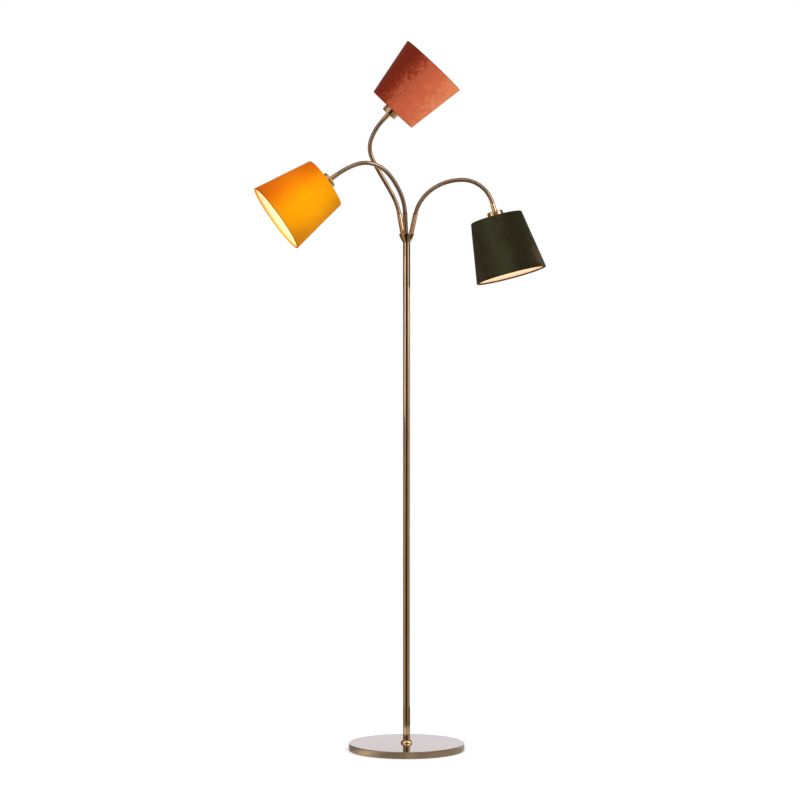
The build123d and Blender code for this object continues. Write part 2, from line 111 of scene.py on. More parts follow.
# Bearing on the hub in degrees, the side towards which the arm's own plane leans, and the bend
# of each link in degrees: in that plane, and sideways out of it.
ARMS = {
    "left": dict(
        bearing=260, inward=(-1, 0, 0), bend=(21, 12, 27, 40, 13), side=(8, 10, 11, 8, 7)
    ),
    "top": dict(
        bearing=140, inward=(-1, 0, 0), bend=(19, 3, -6, -47, -21), side=(11, 4, 2, 3, 2)
    ),
    "right": dict(
        bearing=20, inward=(1, 0, 0), bend=(30, 26, 22, 39, 36), side=(-6, -3, 1, -1, -3)
    ),
}

# ---------------------------------------------------------------- sizes of finer detail
FLEX_GROOVE = 0.0003
FOLD = 0.0046  # from the velvet's outside to the inside of its turned edge
HEM = 0.0038  # how deep the turned edge reaches into the shade
BEAD = 0.0018  # how far along the shade the edge's rounding reaches
TONE_SPAN = 1.2  # how far each side of the axis the velvet's painted light and shade reach, in mean radii
SEAM_SIDE = (0.35, 1, 0.1)  # the side of the room that the shades' seams face
SEAM_WIDTH = 0.058  # from the seam's middle to either side, in radians round the shade
SEAM_EDGE = 0.004  # the width of its sharp side, and of the side that fades, in radians
SEAM_FADE = 0.03
SEAM_RISE = 0.0005
GLUE = 0.00005  # between velvet and lining, and between the rings of painted shadow and what holds them


# ---------------------------------------------------------------- places along an arm
def link_local(arm, link, u):
    """Places and rotations at distances u along a link, in the frame at the link's start."""
    bend, side = arm["bend"][link], arm["side"][link]
    radius = LINK_LEN / radians(hypot(bend, side))
    heading = atan2(side, bend)
    angle = u / radius
    sine, cosine = np.sin(angle), np.cos(angle)
    reach = radius * (1 - cosine)
    places = np.stack([reach * cos(heading), reach * sin(heading), radius * sine], -1)
    spin = np.array(Matrix.Rotation(heading, 3, "Z"))
    tip = np.zeros((len(u), 3, 3))
    tip[:, 0, 0] = tip[:, 2, 2] = cosine
    tip[:, 0, 2], tip[:, 2, 0] = sine, -sine
    tip[:, 1, 1] = 1
    return places, spin @ tip @ spin.T


def straight_local(u):
    places = np.stack([0 * u, 0 * u, u], -1)
    return places, np.broadcast_to(np.eye(3), (len(u), 3, 3))


def with_frames(arm):
    """Works out the frames at the tube's top, at each link's end and at the cup's face."""
    bearing = radians(arm["bearing"])
    outward = Vector((cos(bearing), sin(bearing), 0))
    axis = outward * sin(ARM_LEAN) + Vector((0, 0, cos(ARM_LEAN)))
    across = axis.cross(Vector(arm["inward"]))
    x = across.cross(axis).normalized()
    rotation = np.array([x, axis.cross(x), axis]).T
    place = np.array(outward * ARM_CIRCLE_R) + (0, 0, HUB_TOP) + rotation[:, 2] * ARM_TUBE_LEN
    arm["frames"] = [(place, rotation)]
    for link in range(LINKS):
        spot, turn = link_local(arm, link, np.array([LINK_LEN]))
        place, rotation = place + rotation @ spot[0], rotation @ turn[0]
        arm["frames"].append((place, rotation))
    arm["outward"] = outward
    head = Matrix(rotation.tolist()).to_4x4()
    head.translation = Vector(place + rotation[:, 2] * FERRULE_LEN)
    arm["head"] = head


def along_arm(arm, s):
    """Places and rotations at distances s from the tube's top, straight before and after."""
    s = np.asarray(s, float)
    places, turns = np.zeros((len(s), 3)), np.zeros((len(s), 3, 3))
    whole = np.clip(np.floor(s / LINK_LEN), -1, LINKS).astype(int)
    for link in range(-1, LINKS + 1):
        here = whole == link
        if not here.any():
            continue
        start, rotation = arm["frames"][max(link, 0)]
        u = s[here] - max(link, 0) * LINK_LEN
        bent = 0 <= link < LINKS
        spots, local = link_local(arm, link, u) if bent else straight_local(u)
        places[here] = start + spots @ rotation.T
        turns[here] = rotation @ local
    return places, turns


for arm in ARMS.values():
    with_frames(arm)


# ---------------------------------------------------------------- mesh helpers
def cubic(t, start, leave, arrive, end):
    """Points on a curve from start to end, at shares t of its parameter."""
    left = 1 - t
    return left**3 * start + 3 * t * left**2 * leave + 3 * t**2 * left * arrive + t**3 * end


def piece(name, points, faces, material, sharp=35):
    """A mesh object, smooth but for edges sharper than the given angle in degrees."""
    mesh = bpy.data.meshes.new(name)
    mesh.from_pydata([tuple(p) for p in points], [], faces)
    mesh.validate()
    mesh.shade_smooth()
    mesh.set_sharp_from_angle(angle=radians(sharp))
    mesh.materials.append(material)
    made = bpy.data.objects.new(name, mesh)
    bpy.context.scene.collection.objects.link(made)
    return made


def skin(rows, closed=False):
    """Faces over rows of points that each go once round, given as an array (rows, around, 3),
    with a flat cap at each end unless the last row joins the first."""
    count, around = rows.shape[:2]
    faces = []
    for i in range(count if closed else count - 1):
        here, there = i * around, (i + 1) % count * around
        for k in range(around):
            n = (k + 1) % around
            faces.append((here + k, here + n, there + n, there + k))
    if not closed:
        faces.append(tuple(reversed(range(around))))
        faces.append(tuple((count - 1) * around + k for k in range(around)))
    return rows.reshape(-1, 3), faces


def turned(profile, angles, shift=None):
    """Rows of points for an outline of (radius, height), turned about Z. shift, if given,
    gives each point's radial offset from its angle, height and place in the outline."""
    rows = []
    for index, (radius, height) in enumerate(profile):
        radii = np.full(len(angles), float(radius))
        if shift is not None:
            radii = radii + shift(angles, height, index)
        heights = np.full(len(angles), float(height))
        rows.append(np.stack([radii * np.cos(angles), radii * np.sin(angles), heights], -1))
    return np.array(rows)


def lathe(name, profile, material, around, closed=False):
    """A solid turned from an outline, either a closed one or one that runs up the axis."""
    angles = np.linspace(0, tau, around, endpoint=False)
    points, faces = skin(turned(profile, angles), closed)
    return piece(name, points, faces, material)


def swept(name, centres, radius, material, around=14):
    """A round solid along a line of points."""
    centres = np.asarray(centres, float)
    ahead = np.gradient(centres, axis=0)
    ahead /= np.linalg.norm(ahead, axis=1)[:, None]
    side = np.cross(ahead[0], (0.3, 0.9, 0.2))
    angles = np.linspace(0, tau, around, endpoint=False)[:, None]
    rows = []
    for centre, along in zip(centres, ahead):
        side = side - along * (side @ along)
        side /= np.linalg.norm(side)
        up = np.cross(along, side)
        rows.append(centre + radius * (np.cos(angles) * side + np.sin(angles) * up))
    points, faces = skin(np.array(rows))
    return piece(name, points, faces, material)


def wound(name, place, first, last, heights, around, material, pitch):
    """A solid whose surface is one winding strip. Each turn has len(heights) rows, with those
    radii, and point k of row m lies at (m / rows + k / around) pitches along the line that
    place(distances, radii, angles) follows."""
    rows = len(heights)
    index, s, radii, angles = {}, [], [], []
    for m in range(first, last + rows + 1):
        for k in range(around if m <= last else 1):
            index[m, k] = len(s)
            s.append((m / rows + k / around) * pitch)
            radii.append(heights[m % rows])
            angles.append(tau * k / around)

    def at(m, k):
        return index[m + rows, 0] if k == around else index[m, k]

    faces = [
        (at(m, k), at(m, k + 1), at(m + 1, k + 1), at(m + 1, k))
        for m in range(first, last)
        for k in range(around)
    ]
    points = list(place(np.array(s), np.array(radii), np.array(angles)))
    for m, turn in ((first, -1), (last, 1)):
        loop = [at(m, k) for k in range(around)] + [at(m + j, 0) for j in range(rows, 0, -1)]
        points.append(np.mean([points[i] for i in loop], axis=0))
        middle = len(points) - 1
        for i, j in zip(loop, loop[1:] + loop[:1]):
            faces.append((i, j, middle)[::turn])
    return piece(name, points, faces, material, sharp=80)


# ---------------------------------------------------------------- material helpers
def srgb(*values):
    """A colour given as 0 to 255 on screen, as the shader takes it."""
    linear = [v / 255 for v in values]
    return (*[x / 12.92 if x < 0.04045 else ((x + 0.055) / 1.055) ** 2.4 for x in linear], 1.0)


def material(name, colour, roughness, **settings):
    """A material whose shader's other sockets are set by name, with _ for each space."""
    made = bpy.data.materials.new(name)
    made.use_nodes = True
    settings.update(Base_Color=colour, Roughness=roughness)
    inputs = made.node_tree.nodes["Principled BSDF"].inputs
    for socket, value in settings.items():
        inputs[socket.replace("_", " ")].default_value = value
    return made


def node(made, kind, inputs=(), **settings):
    """Adds a node; inputs are pairs of a socket's name or number and a value or an output."""
    tree = made.node_tree
    new = tree.nodes.new(kind)
    for name, value in settings.items():
        setattr(new, name, value)
    for socket, value in inputs:
        if isinstance(value, bpy.types.NodeSocket):
            tree.links.new(value, new.inputs[socket])
        else:
            new.inputs[socket].default_value = value
    return new


def shader_link(made, socket, output):
    tree = made.node_tree
    tree.links.new(output, tree.nodes["Principled BSDF"].inputs[socket])


def place_in(made, scale=(1, 1, 1), frame=None):
    """The object's own coordinates, or those in a frame of it, stretched."""
    own = node(made, "ShaderNodeTexCoord").outputs["Object"]
    if frame:
        inputs = [("Vector", own)]
        inputs += [("Location", frame.to_translation()), ("Rotation", frame.to_euler())]
        own = node(made, "ShaderNodeMapping", inputs, vector_type="TEXTURE").outputs["Vector"]
    inputs = [("Vector", own), ("Scale", scale)]
    return node(made, "ShaderNodeMapping", inputs).outputs["Vector"]


def height_in(made, place):
    return node(made, "ShaderNodeSeparateXYZ", [("Vector", place)]).outputs["Z"]


def noise(made, vector, scale, detail=2.0, distortion=0.0, roughness=0.5):
    inputs = [("Vector", vector), ("Scale", scale), ("Detail", detail)]
    inputs += [("Distortion", distortion), ("Roughness", roughness)]
    return node(made, "ShaderNodeTexNoise", inputs).outputs["Fac"]


def arithmetic(made, operation, a, b=0.0, c=0.0):
    inputs = [(0, a), (1, b), (2, c)]
    return node(made, "ShaderNodeMath", inputs, operation=operation).outputs["Value"]


def ramp(made, factor, stops):
    """A colour ramp from (position, colour) pairs."""
    new = node(made, "ShaderNodeValToRGB", [("Fac", factor)])
    elements = new.color_ramp.elements
    while len(elements) < len(stops):
        elements.new(0.5)
    for element, (position, colour) in zip(elements, stops):
        element.position, element.color = position, colour
    return new.outputs["Color"]


def multiplied(made, a, b):
    """Two colours multiplied."""
    mix = node(made, "ShaderNodeMix", [(0, 1.0), (6, a), (7, b)], data_type="RGBA")
    mix.blend_type = "MULTIPLY"
    return mix.outputs[2]


def bump(made, height, strength, distance):
    inputs = [("Strength", strength), ("Distance", distance), ("Height", height)]
    shader_link(made, "Normal", node(made, "ShaderNodeBump", inputs).outputs["Normal"])


def grey(value):
    return (value, value, value, 1.0)


def darker(colour, share):
    return (*[c * share for c in colour[:3]], 1.0)


def metal(name, colour, roughness, brush=(1, 1, 1), marks=0.05, tarnish=0.12):
    """Brushed and lacquered metal: fine lines along the short side of brush, cloudy tarnish."""
    made = material(name, colour, roughness, Metallic=1.0)
    lines = noise(made, place_in(made, brush), 900.0, detail=3.0)
    clouds = noise(made, place_in(made), 22.0, detail=4.0, roughness=0.6)
    dark = darker(colour, 1 - tarnish * 2)
    shade = arithmetic(made, "MULTIPLY_ADD", lines, 0.35, clouds)
    shader_link(made, "Base Color", ramp(made, shade, [(0.35, dark), (0.85, colour)]))
    low, high = grey(roughness * 0.75), grey(min(roughness * 1.45, 1))
    shader_link(made, "Roughness", ramp(made, shade, [(0.35, high), (0.85, low)]))
    bump(made, lines, marks, 0.0001)
    return made


def plastic(name, colour, roughness, grain=0.08):
    """Moulded plastic or rubber with a fine spark-eroded grain and faint flow marks."""
    made = material(name, colour, roughness, Specular_IOR_Level=0.4)
    fine = noise(made, place_in(made), 2600.0, detail=2.0)
    flow = noise(made, place_in(made, (1, 1, 3)), 60.0, detail=3.0)
    stops = [(0.3, darker(colour, 0.86)), (0.7, colour)]
    shader_link(made, "Base Color", ramp(made, flow, stops))
    bump(made, fine, grain, 0.0001)
    return made


# ---------------------------------------------------------------- materials
UPWARDS, ROUND = (1, 1, 0.012), (0.02, 0.02, 1)  # which way a metal's fine lines run

bronze_stem = metal("bronze_stem", (0.50, 0.335, 0.205, 1.0), 0.07, brush=UPWARDS, marks=0.02)
# The hub is the same bronze as the stem, painted darker: painted shade on its flare.
hub_bronze_painted_shade = metal("hub_bronze_painted_shade", (0.36, 0.235, 0.14, 1.0), 0.08, brush=(1, 1, 0.05), marks=0.02)
bronze_cup = metal("bronze_cup", (0.56, 0.36, 0.19, 1.0), 0.09, marks=0.02)
bright_brass = metal("bright_brass", (0.72, 0.50, 0.28, 1.0), 0.13, marks=0.03, tarnish=0.05)
base_top = metal("base_top", (0.434, 0.300, 0.200, 1.0), 0.10, marks=0.02, tarnish=0.03)
# The rim's rougher, round-brushed finish is real; its darker colour is painted shade for the floor
# that it mirrors.
rim_brushed_and_shaded = metal("rim_brushed_and_shaded", (0.30, 0.215, 0.145, 1.0), 0.30, brush=ROUND, marks=0.15)
flex_metal = metal("flex_metal", (0.325, 0.22, 0.145, 1.0), 0.08, marks=0.01, tarnish=0.08)
# Nearly black metal for the rings of painted shadow at the tops of the arm tubes.
painted_shadow_dark = metal("painted_shadow_dark", (0.05, 0.035, 0.025, 1.0), 0.35, marks=0.05)
iron = metal("iron", (0.16, 0.15, 0.14, 1.0), 0.6, marks=0.5, tarnish=0.2)
plated_steel = metal("plated_steel", (0.62, 0.62, 0.60, 1.0), 0.28, marks=0.06, tarnish=0.05)
frame_wire = metal("frame_wire", (0.60, 0.57, 0.52, 1.0), 0.3, marks=0.05, tarnish=0.05)
black_rubber = plastic("black_rubber", (0.012, 0.012, 0.013, 1.0), 0.62, grain=0.2)
white_plastic = plastic("white_plastic", (0.78, 0.76, 0.71, 1.0), 0.42)
holder_plastic = plastic("holder_plastic", (0.74, 0.71, 0.64, 1.0), 0.38)
lead_jacket = plastic("lead_jacket", (0.70, 0.68, 0.62, 1.0), 0.5)


def felt(name, colour):
    """Pressed fibres, darker between them."""
    made = material(name, colour, 0.95, Specular_IOR_Level=0.1, Sheen_Weight=0.4)
    fibres = noise(made, place_in(made), 700.0, detail=6.0, distortion=2.0)
    stops = [(0.35, darker(colour, 0.5)), (0.65, colour)]
    shader_link(made, "Base Color", ramp(made, fibres, stops))
    bump(made, fibres, 0.6, 0.0006)
    return made


foot_felt = felt("foot_felt", (0.035, 0.033, 0.032, 1.0))


def velvet(name, frame, angle, tones_with_painted_light, uneven, sheen, tint, glow=None, edge_shade=0.55, hem=None):
    """Cut velvet on a cone about the Z axis of its frame. tones are the velvet's colour with
    painted
    light and painted shade: colours along a direction across the cone, at that angle, as pairs of
    a share of its mean radius and a colour, lighter towards one side and darker towards the other.
    uneven says how far clouds, patches and brush strokes in the pile move them. glow is the light
    that comes through from the bulb, as pairs of a share of the length and a colour; crease is
    painted shade that darkens the wide edge, and hem is the bulb's light on the edge turned in."""
    finish = dict(Specular_IOR_Level=0.05, Sheen_Roughness=0.4)
    made = material(name, tones_with_painted_light[0][1], 0.9, Sheen_Weight=sheen, Sheen_Tint=tint, **finish)
    shader = made.node_tree.nodes["Principled BSDF"]
    own = place_in(made, frame=frame)
    soft, stretched = [place_in(made, (1, 1, z), frame) for z in (0.7, 0.35)]
    # Painted light and shade: the colour changes across the cone along the given angle, lighter on
    # one side and darker on the other.
    lean = node(made, "ShaderNodeVectorMath", [(0, own), (1, (cos(angle), sin(angle), 0))])
    lean.operation = "DOT_PRODUCT"
    across = arithmetic(made, "DIVIDE", lean.outputs["Value"], MEAN_R)
    large = noise(made, own, 20.0, detail=3.0, distortion=0.6)
    patches = noise(made, soft, 95.0, detail=4.0, roughness=0.65)
    strokes = noise(made, stretched, 330.0, detail=3.0, roughness=0.6)
    for mottle, amount in zip((large, patches, strokes), uneven):
        centred = arithmetic(made, "SUBTRACT", mottle, 0.5)
        across = arithmetic(made, "MULTIPLY_ADD", centred, amount, across)
    place = arithmetic(made, "MULTIPLY_ADD", across, 0.5 / TONE_SPAN, 0.5)
    stops = [(0.5 + 0.5 * where / TONE_SPAN, colour) for where, colour in tones_with_painted_light]
    hair = noise(made, own, 1500.0, detail=2.0)
    tone = ramp(made, hair, [(0.3, grey(0.88)), (0.7, grey(1.0))])
    colour = multiplied(made, ramp(made, place, stops), tone)
    share = arithmetic(made, "DIVIDE", height_in(made, own), SHADE_HIGH)
    if hem:
        shader.inputs["Emission Strength"].default_value = 1.0
        shader.inputs["Emission Color"].default_value = hem
    else:
        # Painted shade: the outside of the velvet darkens over its last few millimetres towards
        # the wide edge.
        edge = ramp(made, share, [(0.985, grey(1.0)), (0.994, grey(edge_shade))])
        colour = multiplied(made, colour, edge)
        if glow:
            shader.inputs["Emission Strength"].default_value = 1.0
            shader_link(made, "Emission Color", ramp(made, share, glow))
    shader_link(made, "Base Color", colour)
    bump(made, hair, 0.35, 0.0004)
    return made


def lining(name, frame, colour, light, strength):
    """Smooth lining, lit from the bulb in front of it."""
    made = material(name, colour, 0.55, Specular_IOR_Level=0.3, Emission_Strength=strength)
    own = place_in(made, frame=frame)
    grain = noise(made, own, 420.0, detail=3.0)
    stops = [(0.35, darker(colour, 0.97)), (0.65, colour)]
    shader_link(made, "Base Color", ramp(made, grain, stops))
    share = arithmetic(made, "DIVIDE", height_in(made, own), SHADE_HIGH)
    stops = [(0.2, darker(light, 0.6)), (0.6, light), (1.0, light)]
    shader_link(made, "Emission Color", ramp(made, share, stops))
    bump(made, grain, 0.08, 0.0002)
    return made


def bulb_glass(name, frame):
    """Opal glass, lit from inside: brightest in the middle of the globe."""
    made = material(name, (0.9, 0.88, 0.82, 1.0), 0.25, Emission_Strength=1.1)
    own = place_in(made, frame=frame)
    share = arithmetic(made, "DIVIDE", height_in(made, own), GLOBE_S + GLOBE_R)
    share = arithmetic(made, "MULTIPLY_ADD", noise(made, own, 90.0), 0.04, share)
    stops = [(0.45, (0.35, 0.24, 0.13, 1)), (0.72, (1.0, 0.80, 0.52, 1))]
    stops += [(1.0, (1.0, 0.86, 0.62, 1))]
    shader_link(made, "Emission Color", ramp(made, share, stops))
    return made


# ---------------------------------------------------------------- solids that stay as they are
def dress(name, *made):
    """Gives a CAD node its materials."""
    nodes[name].data.materials.clear()
    for one in made:
        nodes[name].data.materials.append(one)


for name, made in {
    "stem_lower": bronze_stem,
    "stem_middle": bronze_stem,
    "stem_upper": bronze_stem,
    "stem_neck": bronze_stem,
    "stem_collar": bright_brass,
    "stem_nipples": plated_steel,
    "stem_lead": lead_jacket,
    "hub": hub_bronze_painted_shade,
    "base_weight": iron,
    "foot_fasteners": plated_steel,
    "terminal_block": white_plastic,
    "cable_grommet": black_rubber,
}.items():
    dress(name, made)

dress("base_cover", base_top, rim_brushed_and_shaded)
# The side faces of the base cover take the rim's material with its painted shade.
for polygon in nodes["base_cover"].data.polygons:
    polygon.material_index = 1 if abs(polygon.normal.z) < 0.35 else 0


# ---------------------------------------------------------------- felt under the base
def make_felt():
    """Felt disc with a soft cut edge, uneven by less than a tenth of a millimetre."""
    edge, fuzz = 0.0008, 0.00008
    top = PAD_THICK
    profile = [(0.0005, 0.0), (PAD_R * 0.5, 0.0), (PAD_R - edge, 0.0), (PAD_R, edge)]
    profile += [(PAD_R, top - edge), (PAD_R - edge, top), (PAD_R * 0.5, top), (0.0005, top)]
    made = lathe("base_felt", profile, foot_felt, around=240)
    for vertex in made.data.vertices:
        x, y = vertex.co.x, vertex.co.y
        radius, angle = hypot(x, y), atan2(y, x)
        if radius > PAD_R - 2 * edge:
            ripple = sin(angle * 61) + sin(angle * 103 + 1.3) + sin(angle * 37 + 0.4)
            grown = 1 + fuzz * ripple / radius
            vertex.co.x, vertex.co.y = x * grown, y * grown
    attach(made, "root")
    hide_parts("base_pad")


make_felt()


# ---------------------------------------------------------------- arms
# Radii over one turn of the winding, from the start of a crest to the end of the groove.
CREST = [1.0, 1.0, 1.0, 1.0, 1.0, 1.0, 1.0, 0.9, 0.0, 0.9]
WINDING = [FLEX_R - FLEX_GROOVE * (1 - c) for c in CREST]
AROUND = 28
LEAD_STEP = 0.004
LEAD_STRAIGHT = 0.007  # below the arm's tube
LEAD_BEND = 0.010  # how far the bend's handles reach
HINGE_CLEAR = 0.004  # from each end of a blend to the middle of the link there


def hinge_window(arm, index):
    """Where the arm turns from one body to the next, round the end of link number index."""
    half = LINK_LEN / 2 - HINGE_CLEAR
    return along_arm(arm, [index * LINK_LEN - half, index * LINK_LEN + half])[0]


def make_neck(arm_name, arm):
    """The wound metal tube, in a piece round each hinge, cut midway along the links between them.
    """

    def place(s, radii, angles):
        places, turns = along_arm(arm, s)
        x, y = radii * np.cos(angles), radii * np.sin(angles)
        return places + turns[:, :, 0] * x[:, None] + turns[:, :, 1] * y[:, None]

    rows = len(WINDING)
    cuts = [-ROOT_IN_TUBE]
    cuts += [(i + 0.5) * LINK_LEN - PITCH / 2 for i in range(1, LINKS - 1)]
    cuts += [LINKS * LINK_LEN + TAIL_IN_FERRULE - PITCH]
    cuts = [round(s / PITCH * rows) for s in cuts]
    for index in range(1, LINKS):
        name = f"{arm_name}_neck_{index}"
        made = wound(name, place, cuts[index - 1], cuts[index], WINDING, AROUND, flex_metal, PITCH)
        start, end = hinge_window(arm, index)
        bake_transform(made)
        flexes = [index, index + 1]
        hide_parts(*[f"{arm_name}_flex_{i}" for i in flexes])


def make_lead(arm_name, arm):
    """The lead inside the arm, cut like the neck, from the splice in the stem to the holder."""
    outward = np.array(arm["outward"])
    s_start = -ARM_TUBE_LEN
    base = along_arm(arm, [s_start])[0][0]
    foot = outward * LEAD_CIRCLE_R + (0, 0, SPLICE_TOP)
    bend_from = outward * LEAD_CIRCLE_R + (0, 0, HUB_TOP - LEAD_BEND_BELOW_TOP)
    along_tube = arm["frames"][0][1][:, 2]
    bend_to = base - along_tube * LEAD_STRAIGHT
    leave, arrive = bend_from + (0, 0, LEAD_BEND), bend_to - along_tube * LEAD_BEND
    t = np.linspace(0, 1, 12)[:, None]
    below = [foot, *cubic(t, bend_from, leave, arrive, bend_to)]
    cuts = [s_start] + [(i + 0.5) * LINK_LEN for i in range(1, LINKS - 1)]
    cuts += [LINKS * LINK_LEN + FERRULE_LEN + HOLDER_WIRE_END]
    for index in range(1, LINKS):
        from_s, to_s = cuts[index - 1], cuts[index]
        steps = round((to_s - from_s) / LEAD_STEP)
        centres = along_arm(arm, np.linspace(from_s, to_s, steps + 1))[0]
        if index == 1:
            centres = np.vstack([below, centres])
        made = swept(f"{arm_name}_lead_{index}", centres, LEAD_R, lead_jacket)
        start, end = hinge_window(arm, index)
        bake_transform(made)
        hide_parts(f"{arm_name}_lead")


def make_painted_shadow_ring(arm_name, arm):
    """Dark ring of painted shadow at the top of the straight tube, where the winding starts."""
    place, rotation = arm["frames"][0]
    matrix = Matrix(rotation.tolist()).to_4x4()
    matrix.translation = Vector(place)
    inner = FLEX_R + GLUE
    outer = ARM_TUBE_R + 0.0001
    profile = [(inner, GLUE), (outer - 0.0002, GLUE), (outer, 0.0003)]
    profile += [(outer, 0.0009), (outer - 0.0003, 0.0012), (inner, 0.0012)]
    made = lathe(f"{arm_name}_painted_shadow_ring", profile, painted_shadow_dark, around=48, closed=True)
    made.data.transform(matrix)
    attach(made, "root")


def shade_r(s, inset=0.0):
    """The shade's radius at a distance s from the cup's face, inset from its outside."""
    return NARROW_R + SLOPE * (s - SHADE_LOW) - inset


def facing(arm, direction):
    """The angle about the head's axis that looks along a direction of the room."""
    local = arm["head"].to_3x3().inverted() @ Vector(direction)
    return atan2(local.y, local.x)


SEAM_MARKS = [-SEAM_WIDTH - SEAM_FADE, -SEAM_WIDTH, SEAM_WIDTH - SEAM_EDGE, SEAM_WIDTH]


def seam_angles(seam, count):
    """Angles once round, closer together at the seam's two edges."""
    even = np.linspace(SEAM_WIDTH + 0.02, tau - SEAM_WIDTH - 2 * SEAM_FADE, count)
    return seam + np.concatenate([SEAM_MARKS, even])


def seam_height(angles, seam):
    """The raised overlap of the seam: one sharp edge, one that fades away."""
    off = (angles - seam + pi) % tau - pi
    return SEAM_RISE * np.interp(off, SEAM_MARKS, [0, 1, 1, 0])


def velvet_outline():
    """Heights and insets once round the velvet's section, each with how far the surface's
    unevenness counts there."""
    low, high = SHADE_LOW, SHADE_HIGH
    turn = np.linspace(0, pi, 9)
    bead = [(BEAD * sin(t), FOLD / 2 * (1 - cos(t)), (1 + cos(t)) / 2) for t in turn]
    outline = [(s, 0.0, 1.0) for s in np.linspace(low + BEAD, high - BEAD, 26)]
    outline += [(high - BEAD + rise, inset, uneven) for rise, inset, uneven in bead[1:]]
    hem = [(HEM * 0.6, FOLD, 0.0), (HEM, FOLD, 0.0), (HEM, FOLD - SKIN, 0.0)]
    hem += [(SKIN, FOLD - SKIN, 0.0), (SKIN, SKIN, 0.0)]
    outline += [(high - depth, inset, uneven) for depth, inset, uneven in hem]
    outline += [(low + depth, inset, uneven) for depth, inset, uneven in reversed(hem)]
    outline += [(low + BEAD - rise, inset, uneven) for rise, inset, uneven in bead[:0:-1]]
    return outline


def make_velvet(arm_name, arm, made, hem):
    """The velvet, folded round the wire at both edges, with its seam at the back."""
    seam = facing(arm, SEAM_SIDE)
    angles = seam_angles(seam, 190)
    outline = velvet_outline()

    def shift(around, height, index):
        _, inset, uneven = outline[index]
        wave = np.sin(3 * around + 40 * height) + 0.6 * np.sin(7 * around - 90 * height + 1.1)
        offset = uneven * (seam_height(around, seam) + 0.00009 * wave)
        if inset == FOLD:  # small gathers where the hem is turned in
            offset = offset - 0.00004 * np.abs(np.sin(27 * around + 0.7 * np.sin(5 * around)))
        return offset

    profile = [(shade_r(s, inset), s) for s, inset, _ in outline]
    points, faces = skin(turned(profile, angles, shift), closed=True)
    cloth = piece(f"{arm_name}_velvet", points, faces, made, sharp=50)
    cloth.data.materials.append(hem)
    for polygon in cloth.data.polygons:
        depth = polygon.center.z
        inset = shade_r(depth) - hypot(polygon.center.x, polygon.center.y)
        on_hem = inset > FOLD * 0.6 and depth > SHADE_HIGH - HEM - SKIN
        polygon.material_index = 1 if on_hem else 0
    cloth.data.transform(arm["head"])
    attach(cloth, f"{arm_name}_head")
    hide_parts(f"{arm_name}_shade_fabric")


def make_liner(arm_name, arm, made):
    """The lining behind the velvet, with the lap of its glued joint inside."""
    joint = facing(arm, SEAM_SIDE)
    near, far = SKIN + GLUE, SKIN + LINER
    heights = np.linspace(SHADE_LOW + near, SHADE_HIGH - near, 18)
    outline = [(s, near) for s in heights] + [(s, far) for s in heights[::-1]]
    angles = seam_angles(joint, 120)

    def shift(around, height, index):
        inside = index >= len(heights)
        return -seam_height(around, joint) if inside else 0 * around

    profile = [(shade_r(s, inset), s) for s, inset in outline]
    points, faces = skin(turned(profile, angles, shift), closed=True)
    liner = piece(f"{arm_name}_liner", points, faces, made, sharp=50)
    liner.data.transform(arm["head"])
    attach(liner, f"{arm_name}_head")
    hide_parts(f"{arm_name}_shade_liner")


def make_bulb(arm_name, arm):
    """Opal globe on a threaded metal cap."""
    cap_low = HOLDER_FLOOR + CONTACT_LEN
    cap_top = HOLDER_FLOOR + CAP_LEN
    middle = 0.0002  # the outlines start and end next to the axis
    shoulder = radians(25)
    rise = GLOBE_S - GLOBE_R * sin(shoulder) - cap_top
    # Cubic from the neck, going straight up, to the globe's shoulder, along its surface.
    start = np.array([BULB_NECK_R, cap_top])
    end = np.array([GLOBE_R * cos(shoulder), cap_top + rise])
    leave = start + (0, rise * 0.45)
    arrive = end - np.array([sin(shoulder), cos(shoulder)]) * rise * 0.5
    outline = [(middle, cap_top), (BULB_NECK_R, cap_top)]
    outline += [tuple(cubic(t, start, leave, arrive, end)) for t in np.linspace(0, 1, 12)[1:-1]]
    for t in np.linspace(-shoulder, pi / 2 * 0.995, 20):
        outline.append((GLOBE_R * cos(t), GLOBE_S + GLOBE_R * sin(t)))
    glass = bulb_glass(f"bulb_glass_{arm_name}", arm["head"])
    globe = lathe(f"{arm_name}_bulb_globe", outline, glass, around=64)
    turns, thread = 7, 0.0005
    phases = np.linspace(0, turns * tau, turns * 6 + 1)
    heights = np.linspace(cap_low + 0.003, cap_top - 0.006, len(phases))
    outline = [(middle, HOLDER_FLOOR), (CONTACT_R * 0.7, HOLDER_FLOOR)]
    outline += [(CONTACT_R, HOLDER_FLOOR + 0.0008), (CAP_R - 0.003, cap_low + 0.0005)]
    outline += [(CAP_R - thread * (1 - cos(phase)), s) for phase, s in zip(phases, heights)]
    outline += [(CAP_R, cap_top - 0.004), (CAP_R, cap_top), (middle, cap_top)]
    cap = lathe(f"{arm_name}_bulb_cap", outline, plated_steel, around=48)
    for made, slot in ((globe, "bulb_glass"), (cap, "plated_steel")):
        made.data.transform(arm["head"])
        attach(made, f"{arm_name}_head")
        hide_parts(f"{arm_name}_bulb")
